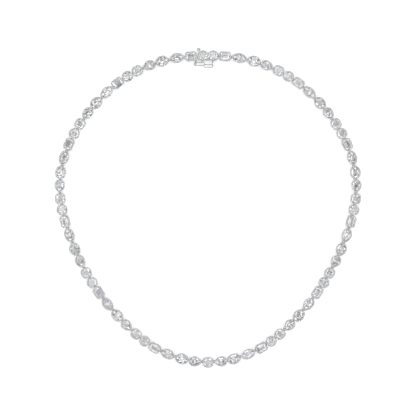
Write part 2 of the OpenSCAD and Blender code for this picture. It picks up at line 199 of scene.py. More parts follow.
@dataclass(frozen=True)
class PolishedGold(Finish):
    """White gold with a bright polish, fine scratches and a tint painted into its crevices by ambient
    occlusion: painted light where that tint is lighter than the open metal, as here, and painted shade where
    it is darker.
    """

    bright: tuple[float, float, float, float] = (0.745, 0.75, 0.755, 1.0)
    # Tint painted where ambient occlusion finds hollows, creases and gaps between parts, with how far and how
    # hard the occlusion reaches.
    painted_occlusion_tint: tuple[float, float, float, float] = (0.79, 0.8, 0.81, 1.0)
    occlusion_reach: float = 0.45 * MM
    occlusion_power: float = 1.3
    stain: float = 0.1
    cloud_scale: float = 900.0
    roughness: float = 0.07
    haze: float = 0.10
    scratch: float = 0.06
    scratch_depth: float = 0.01 * MM
    scratch_scale: float = 5200.0
    scratch_lay: tuple[float, float, float] = (1.0, 7.0, 3.0)

    def surface(self, graph: ShaderGraph) -> Signal:
        """Adds the metal's nodes.

        Args:
            graph: the material's nodes.

        Returns:
            Its shader.
        """
        place = graph.add("ShaderNodeTexCoord", output="Object")
        cloud = graph.add(
            "ShaderNodeTexNoise", None, {"Vector": place, "Scale": self.cloud_scale, "Detail": 4.0}
        )
        lines = graph.add(
            "ShaderNodeMapping", {"vector_type": "POINT"}, {"Vector": place, "Scale": self.scratch_lay}
        )
        marks = graph.add(
            "ShaderNodeTexNoise", None, {"Vector": lines, "Scale": self.scratch_scale, "Detail": 3.0}
        )
        # Painted light and shade: ambient occlusion mixes the base colour toward the crevice tint in hollows
        # and gaps; the cloud adds a faint random stain on top.
        open_air = graph.add(
            "ShaderNodeAmbientOcclusion", {"samples": 6}, {"Distance": self.occlusion_reach}, output="AO"
        )
        occlusion_and_stain = (open_air ** self.occlusion_power) * (1 - self.stain + self.stain * cloud)
        colour = graph.add(
            "ShaderNodeMix",
            {"data_type": "RGBA"},
            {"Factor": occlusion_and_stain, "A": self.painted_occlusion_tint, "B": self.bright},
            output="Result",
        )
        bump = graph.add(
            "ShaderNodeBump",
            None,
            {"Strength": self.scratch, "Distance": self.scratch_depth, "Height": marks},
        )
        return graph.add(
            "ShaderNodeBsdfPrincipled",
            None,
            {
                "Base Color": colour,
                "Metallic": 1.0,
                "Roughness": self.roughness + self.haze * (cloud * marks),
                "Normal": bump,
            },
        )


@dataclass(frozen=True)
class CutCrystal(Finish):
    """Clear colourless stone with a faint change of tint from one stone to the next."""

    cool: tuple[float, float, float, float] = (0.93, 0.95, 1.0, 1.0)
    warm: tuple[float, float, float, float] = (1.0, 0.995, 0.985, 1.0)
    drift_scale: float = 140.0
    ior: float = 2.42

    def surface(self, graph: ShaderGraph) -> Signal:
        """Adds the stone's nodes.

        Args:
            graph: the material's nodes.

        Returns:
            Its shader.
        """
        place = graph.add("ShaderNodeTexCoord", output="Object")
        drift = graph.add(
            "ShaderNodeTexNoise", None, {"Vector": place, "Scale": self.drift_scale, "Detail": 1.0}
        )
        colour = graph.add(
            "ShaderNodeMix",
            {"data_type": "RGBA"},
            {"Factor": drift, "A": self.cool, "B": self.warm},
            output="Result",
        )
        return graph.add(
            "ShaderNodeBsdfPrincipled",
            None,
            {"Base Color": colour, "Roughness": 0.0, "IOR": self.ior, "Transmission Weight": 1.0},
        )


@dataclass(frozen=True)
class StudioPaper(Finish):
    """Matt white paper on a lit table, under the necklace."""

    shade: float = 0.9
    glow: float = 0.42
    roughness: float = 0.8
    fibre: float = 0.15
    fibre_scale: float = 300.0

    def surface(self, graph: ShaderGraph) -> Signal:
        """Adds the paper's nodes.

        Args:
            graph: the material's nodes.

        Returns:
            Its shader.
        """
        place = graph.add("ShaderNodeTexCoord", output="Object")
        fibres = graph.add(
            "ShaderNodeTexNoise", None, {"Vector": place, "Scale": self.fibre_scale, "Detail": 5.0}
        )
        return graph.add(
            "ShaderNodeBsdfPrincipled",
            None,
            {
                "Base Color": grey(self.shade),
                "Roughness": self.roughness + self.fibre * fibres,
                "Emission Color": grey(1.0),
                "Emission Strength": self.glow,
            },
        )


@dataclass(frozen=True)
class Wall:
    """One arc of an outline, with the angle at which it ends if the next is tangent to it."""

    x: float
    y: float
    radius: float
    steps: int
    until: float | None = None


@dataclass(frozen=True)
class Junction:
    """Where one wall of an outline ends and the next begins, and any round corner between them."""

    stop: float
    start: float
    x: float = 0.0
    y: float = 0.0
    radius: float = 0.0


@dataclass(frozen=True)
class Outline:
    """Closed convex outline of a bezel with the chain running along x, in millimetres."""

    cut: Cut
    length: float
    width: float
    gap: float
    corner_r: float = 0.16
    corner_steps: int = 3
    emerald_corner: float = 0.85
    pear_side_r: float = 4.2
    cushion_side_r: float = 5.3
    straight_r: float = 400.0
    crisp_r: float = 0.03
    round_steps: int = 64
    straight_steps: int = 2
    cushion_steps: int = 7
    long_steps: int = 26
    pear_side_steps: int = 14
    pear_end_steps: int = 36

    @property
    def centre_x(self) -> float:
        """Place along x from which the facets are set out."""
        return (self.width - self.length) / 2 if self.cut is Cut.PEAR else 0.0

    def walls(self) -> list[Wall]:
        """Arcs of the outline, counterclockwise from the +x side."""
        return {
            Cut.EMERALD: self._emerald,
            Cut.MARQUISE: self._long,
            Cut.OVAL: self._long,
            Cut.PEAR: self._pear,
            Cut.CUSHION: self._cushion,
            Cut.ROUND: self._round,
        }[self.cut]()

    def _round(self) -> list[Wall]:
        """A circle."""
        return [Wall(0.0, 0.0, self.length / 2, self.round_steps, 360.0)]

    def _emerald(self) -> list[Wall]:
        """A rectangle with its corners cut, its sides taken as very flat arcs."""
        half_l, half_w, far = self.length / 2, self.width / 2, self.straight_r
        slant = (half_l + half_w - self.emerald_corner) / math.sqrt(2) - far
        reach = [half_l - far, slant, half_w - far, slant] * 2
        turns = [math.radians(45 * i) for i in range(8)]
        steps = self.straight_steps
        return [Wall(r * math.cos(a), r * math.sin(a), far, steps) for r, a in zip(reach, turns)]

    def _cushion(self) -> list[Wall]:
        """A square with bowed sides."""
        side_r, steps = self.cushion_side_r, self.cushion_steps
        reach = self.length / 2 - side_r
        turns = [math.radians(90 * side) for side in range(4)]
        return [Wall(reach * math.cos(a), reach * math.sin(a), side_r, steps) for a in turns]

    def _long(self) -> list[Wall]:
        """Two side arcs that meet in round ends."""
        end = self.length / 2 - self.corner_r
        rest = self.width / 2 - self.corner_r
        drop = (end ** 2 - rest ** 2) / (2 * rest)
        return [Wall(0.0, centre, self.width / 2 + drop, self.long_steps) for centre in (-drop, drop)]

    def _pear(self) -> list[Wall]:
        """A large round end and two side arcs that meet in a tip toward +x."""
        radius, side_r = self.width / 2, self.pear_side_r
        middle = self.centre_x
        apart = self.length - radius - self.corner_r
        first, second = side_r - radius, side_r - self.corner_r
        back = (first ** 2 - second ** 2 + apart ** 2) / (2 * apart)
        aside = math.sqrt(first ** 2 - back ** 2)
        a = math.degrees(math.atan2(aside, -back))
        return [
            Wall(middle + back, -aside, side_r, self.pear_side_steps, a),
            Wall(middle, 0.0, radius, self.pear_end_steps, 360 - a),
            Wall(middle + back, aside, side_r, self.pear_side_steps),
        ]

    def _junction(self, wall: Wall, following: Wall, inset: float) -> Junction:
        """Joins a wall to the next.

        Args:
            wall: the wall that ends.
            following: the wall that begins.
            inset: how far both are moved inward.

        Returns:
            The angles at which they end and begin, with the rounded corner between them.
        """
        if wall.until is not None:
            return Junction(wall.until, wall.until)
        corner = max(self.corner_r - inset, self.crisp_r)
        first = wall.radius - inset - corner
        second = following.radius - inset - corner
        dx, dy = following.x - wall.x, following.y - wall.y
        apart = math.hypot(dx, dy)
        along = (first ** 2 - second ** 2 + apart ** 2) / (2 * apart)
        across = math.sqrt(first ** 2 - along ** 2)
        x = wall.x + (dx * along - dy * across) / apart
        y = wall.y + (dy * along + dx * across) / apart
        stop = math.degrees(math.atan2(y - wall.y, x - wall.x))
        start = math.degrees(math.atan2(y - following.y, x - following.x))
        return Junction(stop, start, x, y, corner)

    def ring(self, inset: float) -> np.ndarray:
        """Sets out the outline, moved inward.

        Args:
            inset: distance inward from the bezel's outer wall.

        Returns:
            Its (x, y) points, counterclockwise, the same number for every inset.
        """
        walls = self.walls()
        joins = [self._junction(w, walls[(i + 1) % len(walls)], inset) for i, w in enumerate(walls)]
        points = []
        for i, wall in enumerate(walls):
            start, stop = joins[i - 1].start, joins[i].stop
            while start >= stop:
                start -= 360
            while stop - start > 360:
                start += 360
            points.append(arc_points(wall.x, wall.y, wall.radius - inset, start, stop, wall.steps))
            corner = joins[i]
            if corner.radius:
                turned = stop + (corner.start - stop) % 360
                points.append(arc_points(corner.x, corner.y, corner.radius, stop, turned, self.corner_steps))
        return np.concatenate(points)

    def reach(self, angles: np.ndarray, inset: float) -> np.ndarray:
        """Measures the outline from the place from which its facets are set out.

        Args:
            angles: directions in degrees.
            inset: how far the outline is moved inward.

        Returns:
            The distance to the outline in each direction.
        """
        ring = self.ring(inset) - (self.centre_x, 0.0)
        turn = np.degrees(np.arctan2(ring[:, 1], ring[:, 0]))
        return np.interp(angles, turn, np.hypot(ring[:, 0], ring[:, 1]), period=360)


def arc_points(x: float, y: float, radius: float, start: float, stop: float, steps: int) -> np.ndarray:
    """Sets out an arc without its last point.

    Args:
        x: centre, x.
        y: centre, y.
        radius: radius.
        start: first angle in degrees.
        stop: last angle in degrees.
        steps: number of points.

    Returns:
        The (x, y) points.
    """
    a = np.radians(np.linspace(start, stop, steps, endpoint=False))
    return np.column_stack([x + radius * np.cos(a), y + radius * np.sin(a)])


def raised(ring: np.ndarray, z: float) -> np.ndarray:
    """A flat ring of (x, y) points put at one height."""
    return np.column_stack([ring, np.full(len(ring), z)])


OUTLINES = {
    Cut.EMERALD: Outline(Cut.EMERALD, 5.4, 4.45, 0.25),
    Cut.MARQUISE: Outline(Cut.MARQUISE, 7.0, 4.6, 0.23, 0.7, 7),
    Cut.OVAL: Outline(Cut.OVAL, 6.1, 5.0, 0.16, 2.0, 14),
    Cut.PEAR: Outline(Cut.PEAR, 5.85, 4.7, 0.35, 0.7, 7),
    Cut.CUSHION: Outline(Cut.CUSHION, 4.85, 4.85, 0.14, 1.6, 9),
    Cut.ROUND: Outline(Cut.ROUND, 5.0, 5.0, 0.14),
}


@dataclass(frozen=True)
class ClaspPlan:
    """Places that the clasp's parts share, from the middle of the box, in millimetres."""

    pitch: float = 4.6
    mouth: float = 4.35
    hinge_x: float = 2.05
    ring_y: float = -4.3
    catch_z: float = 1.25
    stud_y: float = -3.43
    tab_reach: float = 3.92


CLASP = ClaspPlan()


@dataclass(frozen=True)
class Placement:
    """Where a link's own frame stands in the loop, and whether its bezel is turned about."""

    x: float = 0.0
    y: float = 0.0
    heading: float = 0.0
    turned: bool = False

    def set_down(self, points: np.ndarray, turned: bool = False) -> np.ndarray:
        """Moves points from the link's frame to the necklace's.

        Args:
            points: (x, y, z) points.
            turned: whether to mirror them along the chain first.

        Returns:
            The moved points.
        """
        moved = np.array(points, float)
        if turned:
            moved[:, 0] *= -1
        a = math.radians(self.heading)
        x = self.x + moved[:, 0] * math.cos(a) - moved[:, 1] * math.sin(a)
        y = self.y + moved[:, 0] * math.sin(a) + moved[:, 1] * math.cos(a)
        return np.column_stack([x, y, moved[:, 2]])


class Stock:
    """Points and faces of one piece, in millimetres, gathered before it becomes a mesh."""

    def __init__(self) -> None:
        """Starts empty."""
        self.points: list[np.ndarray] = []
        self.faces: list[tuple[int, ...]] = []
        self.count = 0

    def add(self, points: np.ndarray, faces: Faces, flip: bool = False) -> "Stock":
        """Adds a shell.

        Args:
            points: its (x, y, z) points.
            faces: its faces, counterclockwise from outside.
            flip: whether the points were mirrored, so that the faces turn about.

        Returns:
            This stock.
        """
        base = self.count
        step = -1 if flip else 1
        self.points.append(np.asarray(points, float))
        self.faces.extend(tuple(base + int(i) for i in face[::step]) for face in faces)
        self.count += len(points)
        return self

    def place(self, other: "Stock", at: Placement, turned: bool = False) -> "Stock":
        """Adds a copy of other stock.

        Args:
            other: the stock to copy.
            at: where its frame goes.
            turned: whether to mirror it along the chain.

        Returns:
            This stock.
        """
        return self.add(at.set_down(other.array(), turned), other.faces, turned)

    def array(self) -> np.ndarray:
        """All the points in one array."""
        return np.concatenate(self.points)

    def mesh(self, name: str, scale: float = MM) -> bpy.types.Mesh:
        """Turns the stock into a mesh.

        Args:
            name: the mesh's name.
            scale: metres, or another length, for each millimetre.

        Returns:
            The mesh.
        """
        made = bpy.data.meshes.new(name)
        made.from_pydata((self.array() * scale).tolist(), [], self.faces)
        made.update()
        return made


def loft(rings: Sequence[np.ndarray], wrap: bool = False) -> Stock:
    """Joins closed rings of the same number of points.

    Args:
        rings: the rings, each counterclockwise seen from the side that the first to last go toward.
        wrap: whether the last joins the first; if not, both ends are closed with a flat face.

    Returns:
        The closed shell.
    """
    n = len(rings[0])
    m = len(rings)
    faces: list[tuple[int, ...]] = []
    for i in range(m if wrap else m - 1):
        a, b = i * n, (i + 1) % m * n
        faces.extend((a + j, a + (j + 1) % n, b + (j + 1) % n, b + j) for j in range(n))
    if not wrap:
        faces.append(tuple(range(n - 1, -1, -1)))
        faces.append(tuple(range((m - 1) * n, m * n)))
    return Stock().add(np.concatenate(rings), faces)


def tube(
    path: np.ndarray, across: tuple[float, float, float], radius: float, closed: bool, sides: int = 14
) -> Stock:
    """Sweeps round wire along a flat path.

    Args:
        path: (x, y, z) points that lie in one plane.
        across: the direction at right angles to that plane.
        radius: radius of the wire.
        closed: whether the path is a loop.
        sides: points round the wire.

    Returns:
        The wire.
    """
    up = np.array(across, float)
    if closed:
        ahead = np.roll(path, -1, axis=0) - np.roll(path, 1, axis=0)
    else:
        ahead = np.gradient(path, axis=0)
    ahead /= np.linalg.norm(ahead, axis=1)[:, None]
    aside = np.cross(up, ahead)
    turn = np.linspace(0, 2 * math.pi, sides, endpoint=False)
    rings = [
        p + radius * (np.cos(turn)[:, None] * s + np.sin(turn)[:, None] * up) for p, s in zip(path, aside)
    ]
    return loft(rings, wrap=closed)


def revolve(
    section: Sequence[tuple[float, float]], x: float, y: float, closed: bool, steps: int = 40
) -> Stock:
    """Turns a section about an upright axis.

    Args:
        section: (radius, height) points, going up on the outside.
        x: the axis, x.
        y: the axis, y.
        closed: whether the section is a loop round a bore; if not, its ends are closed with flat faces.
        steps: points round the axis.

    Returns:
        The turned shell.
    """
    rings = [raised(arc_points(x, y, r, 0, 360, steps), z) for r, z in section]
    return loft(rings, wrap=closed)


class Bench:
    """Tools that cut and soften solid shapes, used at a scale of one unit to the millimetre."""

    @staticmethod
    def _object(stock: Stock) -> bpy.types.Object:
        """Puts stock on the bench."""
        made = bpy.data.objects.new("bench", stock.mesh("bench", 1.0))
        bpy.context.scene.collection.objects.link(made)
        return made

    @staticmethod
    def _lift(item: bpy.types.Object) -> Stock:
        """Takes an object with its modifiers off the bench as stock."""
        graph = bpy.context.evaluated_depsgraph_get()
        mesh = bpy.data.meshes.new_from_object(item.evaluated_get(graph))
        points = np.array([v.co[:] for v in mesh.vertices])
        faces = [tuple(p.vertices) for p in mesh.polygons]
        bpy.data.meshes.remove(mesh)
        bpy.data.objects.remove(item)
        return Stock().add(points, faces)

    @classmethod
    def soften(cls, stock: Stock, width: float, segments: int = 3, angle: float = 30.0) -> Stock:
        """Rounds the edges.

        Args:
            stock: the shape.
            width: how far the rounding reaches from each edge.
            segments: steps in each rounding.
            angle: the least turn between two faces, in degrees, that is rounded.

        Returns:
            The rounded shape.
        """
        item = cls._object(stock)
        bevel = item.modifiers.new("soften", "BEVEL")
        bevel.width = width
        bevel.segments = segments
        bevel.limit_method = "ANGLE"
        bevel.angle_limit = math.radians(angle)
        return cls._lift(item)

    @classmethod
    def carve(cls, stock: Stock, cutters: Iterable[Stock]) -> Stock:
        """Cuts shapes out of a solid.

        Args:
            stock: the solid.
            cutters: the shapes to take away.

        Returns:
            What is left.
        """
        item = cls._object(stock)
        tools = [cls._object(c) for c in cutters]
        for tool in tools:
            cut = item.modifiers.new("carve", "BOOLEAN")
            cut.operation = "DIFFERENCE"
            cut.solver = "EXACT"
            cut.object = tool
        left = cls._lift(item)
        for tool in tools:
            bpy.data.objects.remove(tool)
        return left


def prism(outline: Sequence[tuple[float, float]], low: float, high: float) -> Stock:
    """Raises a flat outline into a solid.

    Args:
        outline: (x, y) points, counterclockwise.
        low: height of the bottom.
        high: height of the top.

    Returns:
        The solid.
    """
    ring = np.array(outline, float)
    return loft([raised(ring, low), raised(ring, high)])


def block(x: tuple[float, float], y: tuple[float, float], z: tuple[float, float]) -> Stock:
    """A rectangular solid between the given limits."""
    return prism([(x[0], y[0]), (x[1], y[0]), (x[1], y[1]), (x[0], y[1])], z[0], z[1])


@dataclass(frozen=True)
class Piece:
    """How a finished piece is named, dressed and carried."""

    name: str
    body: str
    slot: str
    stands_for: tuple[str, ...]

    def finish(self, stock: Stock, material: bpy.types.Material, crease: float | None) -> bpy.types.Object:
        """Makes the piece and hangs it on its body.

        Args:
            stock: its shape.
            material: its material.
            crease: the least turn, in degrees, that stays a sharp edge; without one every facet is flat.

        Returns:
            The piece.
        """
        mesh = stock.mesh(self.name)
        mesh.materials.append(material)
        made = bpy.data.objects.new(self.name, mesh)
        bpy.context.scene.collection.objects.link(made)
        if crease is not None:
            mesh.shade_smooth()
            mesh.set_sharp_from_angle(angle=math.radians(crease))
            normals = made.modifiers.new("normals", "WEIGHTED_NORMAL")
            normals.keep_sharp = True
        else:
            mesh.shade_flat()
        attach(made, self.body)
        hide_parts(*self.stands_for)
        mesh.calc_loop_triangles()
        LOG.info("%s: %d triangles on %s", self.name, len(mesh.loop_triangles), self.body)
        return made


@dataclass
class Loop:
    """The line that the links follow, symmetric about the YZ plane."""

    runs: int = 5
    straight: float = 4.2
    arcs: tuple[tuple[float, float], ...] = ((60.7, 43.1), (75.1, 21.2), (46.1, 38.2), (104.4, 38.0))
    joints: list[float] = field(init=False)

    def __post_init__(self) -> None:
        """Closes the loop with a front arc and sets out the joints."""
        x = self.straight
        turned = 0.0
        for radius, turn in self.arcs:
            x += radius * (sind(turned + turn) - sind(turned))
            turned += turn
        self.arcs = (*self.arcs, (x / sind(turned), 180 - turned))
        self.middle = len(Cut) * self.runs + Cut.CUSHION.value
        self.last = 2 * self.middle
        s = CLASP.pitch / 2 + OUTLINES[Cut.ROUND].length / 2 + self.gap(0) / 2
        self.first_joint = s
        self.joints = [s]
        for k in range(self.last + 1):
            s += self.gap(k) / 2 + OUTLINES[self.cut(k)].length + self.gap(k + 1) / 2
            self.joints.append(s)
        middle = self.middle
        self.half = self.joints[middle] + self.gap(middle) / 2 + OUTLINES[self.cut(middle)].length / 2
        drawn = self.straight + sum(r * math.radians(t) for r, t in self.arcs)
        self.scale = self.half / drawn
        depth = -self._half_point(self.half)[1]
        self.clasp = Placement(0.0, (depth + OUTLINES[Cut.CUSHION].length / 2 - CLASP.tab_reach) / 2)

    def cut(self, k: int) -> Cut:
        """Cut of link k."""
        return Cut((k if k <= self.middle else self.last - k) % len(Cut))

    def gap(self, k: int) -> float:
        """Gap before link k."""
        if k > self.middle:
            return self.gap(self.last + 1 - k)
        return OUTLINES[Cut.ROUND if k == 0 else self.cut(k - 1)].gap

    def _half_point(self, s: float) -> tuple[float, float]:
        """Finds a point of the right half.

        Args:
            s: distance along the loop from the middle of the clasp.

        Returns:
            Its x and y, with the clasp at y = 0.
        """
        x, y, heading = self.straight * self.scale, 0.0, 0.0
        if s <= x:
            return s, 0.0
        s -= x
        for i, (radius, turn) in enumerate(self.arcs):
            r = radius * self.scale
            full = r * math.radians(turn)
            ends = i == len(self.arcs) - 1 or s < full
            a = math.degrees(s / r) if ends else turn
            x += r * (sind(heading + a) - sind(heading))
            y += r * (cosd(heading + a) - cosd(heading))
            if ends:
                break
            s -= full
            heading += turn
        return x, y

    def point(self, s: float) -> tuple[float, float]:
        """Point of the whole loop at distance s from the clasp, clockwise."""
        if s <= self.half:
            return self._half_point(s)
        x, y = self._half_point(2 * self.half - s)
        return -x, y

    def placement(self, k: int) -> Placement:
        """Finds the frame of link k.

        Args:
            k: number of the link, clockwise from the clasp box.

        Returns:
            Where its bezel stands.
        """
        px, py = self.point(self.joints[k])
        qx, qy = self.point(self.joints[k + 1])
        heading = math.atan2(qy - py, qx - px)
        at = (self.gap(k) + OUTLINES[self.cut(k)].length) / 2
        return Placement(
            px + at * math.cos(heading),
            py + at * math.sin(heading) + self.clasp.y,
            math.degrees(heading),
            k > self.middle,
        )


def sind(degrees: float) -> float:
    """Sine of an angle in degrees."""
    return math.sin(math.radians(degrees))


def cosd(degrees: float) -> float:
    """Cosine of an angle in degrees."""
    return math.cos(math.radians(degrees))


@dataclass(frozen=True)
class BezelCup:
    """A bezel: a gallery, a coved collar over it, and a rim that is rounded on both sides."""

    height: float = 3.15
    collar_z: float = 1.65
    gallery_out: float = 0.6
    gallery_in: float = 0.88
    seat_in: float = 0.55
    seat_depth: float = 0.85
    flange_depth: float = 1.28
    edge: float = 0.05
    outer_edge: float = 0.06
    shelf_edge: float = 0.04
    undercut: float = 0.24
    cove: tuple[tuple[float, float], ...] = (
        (0.55, -0.09), (0.43, -0.02), (0.13, 0.0), (0.03, 0.04), (0.008, 0.13),
    )
    rim: tuple[tuple[float, float], ...] = (
        (0.008, 0.19), (0.01, 0.165), (0.03, 0.145), (0.12, 0.075), (0.2, 0.012), (0.23, 0.0), (0.34, 0.0),
        (0.37, 0.012), (0.45, 0.075), (0.53, 0.15), (0.55, 0.24), (0.51, 0.25), (0.33, 0.26), (0.33, 0.85),
    )

    def section(self) -> list[tuple[float, float]]:
        """Inset and height round the wall, going up on the outside."""
        out, back, soft = self.gallery_out, self.gallery_in, self.edge
        flange, bend = self.height - self.flange_depth, self.shelf_edge
        gallery = [(back, soft), (back - soft, 0.0), (out + self.outer_edge, 0.0), (out, self.outer_edge)]
        gallery.append((out, self.collar_z - self.undercut))
        shelf = [(self.seat_in, flange + bend), (self.seat_in + soft, flange), (back - bend, flange),
                 (back, flange - bend)]
        return gallery + self.collar() + shelf

    def collar(self) -> list[tuple[float, float]]:
        """The part of the section from the cove under the collar over the rim to the seat."""
        cove = [(inset, self.collar_z + rise) for inset, rise in self.cove]
        rim = [(inset, self.height - drop) for inset, drop in self.rim]
        return cove + rim + [(self.seat_in, self.height - self.seat_depth)]

    def stock(self, outline: Outline) -> Stock:
        """Sweeps the section round an outline.

        Args:
            outline: the bezel's outline.

        Returns:
            The cup in its own frame.
        """
        return loft([raised(outline.ring(g), z) for g, z in self.section()], wrap=True)


@dataclass(frozen=True)
class WireEye:
    """The bent wire eyes by which the links hang together."""

    wire_r: float = 0.2
    z: float = 0.85
    past: float = 0.29
    upright_r: float = 0.55
    level_r: float = 0.6
    leg: float = 1.35
    bend_steps: int = 14

    def upright(self, reach: float) -> Stock:
        """Bends the eye that stands on edge and reaches back.

        Args:
            reach: distance from the middle of the bezel to the middle of the bend's wire.

        Returns:
            The eye.
        """
        bend = arc_points(self.upright_r - reach, self.z, self.upright_r, 270, 90, self.bend_steps)
        end = self.upright_r - reach + self.leg
        low, high = self.z - self.upright_r, self.z + self.upright_r
        flat = np.vstack([[end, low], bend, [[self.upright_r - reach, high], [end, high]]])
        path = np.column_stack([flat[:, 0], np.zeros(len(flat)), flat[:, 1]])
        return tube(path, (0, 1, 0), self.wire_r, closed=False)

    def level(self, reach: float, leg: float | None = None) -> Stock:
        """Bends the eye that lies flat and reaches forward.

        Args:
            reach: distance from the middle of the bezel to the middle of the bend's wire.
            leg: length of its straight legs, if not the usual one.

        Returns:
            The eye.
        """
        middle = reach - self.level_r
        start = middle - (self.leg if leg is None else leg)
        bend = arc_points(middle, 0.0, self.level_r, -90, 90, self.bend_steps)
        flat = np.vstack([[start, -self.level_r], bend, [[middle, self.level_r], [start, self.level_r]]])
        return tube(raised(flat, self.z), (0, 0, 1), self.wire_r, closed=False)


@dataclass(frozen=True)
class FacetedStone:
    """A cut stone: a brilliant on any outline, or a step cut on the emerald outline."""

    outline: Outline
    inset: float = 0.45
    girdle_z: float = 2.58
    girdle_h: float = 0.1
    table: float = 0.57
    star: float = 0.8
    lower: float = 0.22
    crown: float = 0.29
    pavilion: float = 0.84
    keel_share: float = 1.35
    crown_steps: tuple[tuple[float, float], ...] = ((0.36, 1.0), (0.25, 0.80), (0.12, 0.44))
    pavilion_steps: tuple[tuple[float, float], ...] = ((0.2, 0.22), (0.42, 0.5), (0.68, 0.79))
    keel: float = 0.825
    least_corner: float = 0.15
    least_keel: float = 0.1

    @property
    def half_w(self) -> float:
        """Half of the stone's width."""
        return self.outline.width / 2 - self.inset

    def stock(self) -> Stock:
        """The stone in its bezel's frame."""
        return self._stepped() if self.outline.cut is Cut.EMERALD else self._brilliant()

    def _ring(self, count: int, start: float, share: float, z: float) -> np.ndarray:
        """Sets out points of a brilliant.

        Args:
            count: number of points.
            start: first angle in degrees.
            share: share of the way from the middle to the girdle.
            z: height.

        Returns:
            The points.
        """
        angles = start + 360 / count * np.arange(count)
        r = share * self.outline.reach(angles, self.inset)
        a = np.radians(angles)
        return np.column_stack([self.outline.centre_x + r * np.cos(a), r * np.sin(a), np.full(count, z)])

    def _brilliant(self) -> Stock:
        """Eight mains, eight stars and sixteen halves over sixteen halves and eight mains."""
        crown, depth = self.crown * self.half_w, self.pavilion * self.half_w
        top = self.girdle_z + self.girdle_h
        star_z = top + crown * (1 - self.star * cosd(22.5)) / (1 - self.table)
        lower_z = self.girdle_z - depth * (1 - self.lower * cosd(22.5))
        culets = self._culets(self.girdle_z - depth)
        keeled = bool(culets[0, 0] > culets[1, 0])
        corners = self._ring(8, 22.5, 1, lower_z)
        nearest = culets[[0, 0, 1, 1, 1, 1, 0, 0]]
        lower = nearest + self.lower * (corners - nearest)
        lower[:, 2] = lower_z
        points = np.vstack([
            self._ring(8, 0, self.table, top + crown),
            self._ring(8, 22.5, self.star, star_z),
            self._ring(16, 0, 1, top),
            self._ring(16, 0, 1, self.girdle_z),
            lower,
            culets if keeled else culets[:1],
        ])
        star, upper, under, main, culet = 8, 16, 32, 48, 56
        faces: list[tuple[int, ...]] = [tuple(range(star))]
        if keeled:
            faces += [(under + 4, culet, culet + 1), (under + 12, culet + 1, culet)]
        for i in range(8):
            j, before = (i + 1) % 8, (i + 7) % 8
            edge, half, after = 2 * i, 2 * i + 1, (2 * i + 2) % 16
            end = culet + 1 if keeled and 2 <= i <= 5 else culet
            faces += [
                (j, i, star + i),
                (i, upper + edge, star + i),
                (i, star + before, upper + edge),
                (star + i, upper + edge, upper + half),
                (star + i, upper + half, upper + after),
                (upper + edge, under + edge, under + half, upper + half),
                (upper + half, under + half, under + after, upper + after),
                (main + i, under + half, under + edge),
                (main + i, under + after, under + half),
                (main + i, under + edge, end),
                (main + i, end, under + after),
            ]
        return Stock().add(points, faces)

    def _culets(self, z: float) -> np.ndarray:
        """Two ends of the keel, which are one point where the stone is as long as it is wide.

        Args:
            z: height of the keel.

        Returns:
            The right end and the left end.
        """
        long = self.outline.reach(np.array([0.0, 180.0]), self.inset) - self.half_w
        right, left = self.keel_share * np.where(long > self.least_keel, long, 0.0)
        return np.array([[self.outline.centre_x + right, 0, z], [self.outline.centre_x - left, 0, z]])

    def _stepped(self) -> Stock:
        """Rows of long facets that run round, meeting in a keel."""
        crown, depth = self.crown * self.half_w, self.pavilion * self.half_w
        top = self.girdle_z + self.girdle_h
        rows = [(share, top + rise * crown) for share, rise in self.crown_steps]
        rows += [(0.0, top), (0.0, self.girdle_z)]
        rows += [(share, self.girdle_z - fall * depth) for share, fall in self.pavilion_steps]
        rings = [self._eight(self.inset + share * self.half_w, z) for share, z in rows]
        low = self.girdle_z - depth
        points = np.vstack(rings + [[[self.keel, 0, low], [-self.keel, 0, low]]])
        base = 8 * (len(rings) - 1)
        right, left = base + 8, base + 9
        faces: list[tuple[int, ...]] = [tuple(range(8))]
        for row in range(len(rings) - 1):
            a, b = 8 * row, 8 * row + 8
            faces += [(a + (i + 1) % 8, a + i, b + i, b + (i + 1) % 8) for i in range(8)]
        faces += [(base + (i + 1) % 8, base + i, right) for i in (5, 6, 7, 0)]
        faces += [(base + i + 1, base + i, left) for i in (1, 2, 3, 4)]
        faces += [(base + 1, right, left), (base + 5, left, right)]
        return Stock().add(points, faces)

    def _eight(self, inset: float, z: float) -> np.ndarray:
        """Eight corners of the emerald outline.

        Args:
            inset: distance inward from the bezel's outer wall.
            z: height.

        Returns:
            The points, counterclockwise.
        """
        x, y = self.outline.length / 2 - inset, self.outline.width / 2 - inset
        c = max(self.outline.emerald_corner - inset * (2 - math.sqrt(2)), self.least_corner)
        back = [(x, y - c), (x - c, y), (c - x, y), (-x, y - c)]
        front = [(-x, c - y), (c - x, -y), (x - c, -y), (x, c - y)]
        return raised(np.array(back + front), z)


@dataclass
class SettingChain:
    """One half of the chain: bezels, each with an upright and a level eye."""

    side: str
    first: int
    final: int
    loop: Loop
    cup: BezelCup = BezelCup()
    eye: WireEye = WireEye()
    cup_crease: float = 40.0
    eye_crease: float = 50.0

    def dress(self, cups_in: bpy.types.Material, eyes_in: bpy.types.Material) -> None:
        """Builds both pieces.

        Args:
            cups_in: material of the bezels.
            eyes_in: material of the wire.
        """
        node = f"settings_{self.side}"
        cups, eyes = Stock(), Stock()
        shapes = {cut: self.cup.stock(outline) for cut, outline in OUTLINES.items()}
        for k in range(self.first, self.final + 1):
            at = self.loop.placement(k)
            half = OUTLINES[self.loop.cut(k)].length / 2
            cups.place(shapes[self.loop.cut(k)], at, at.turned)
            eyes.place(self.eye.upright(half + self.loop.gap(k) / 2 + self.eye.past), at)
            eyes.place(self.eye.level(half + self.loop.gap(k + 1) / 2 + self.eye.past), at)
        for name, stock, finish, crease in (
            ("bezels", cups, cups_in, self.cup_crease),
            ("eyes", eyes, eyes_in, self.eye_crease),
        ):
            Piece(f"{name}_{self.side}", "necklace", "white_gold", (node,)).finish(stock, finish, crease)


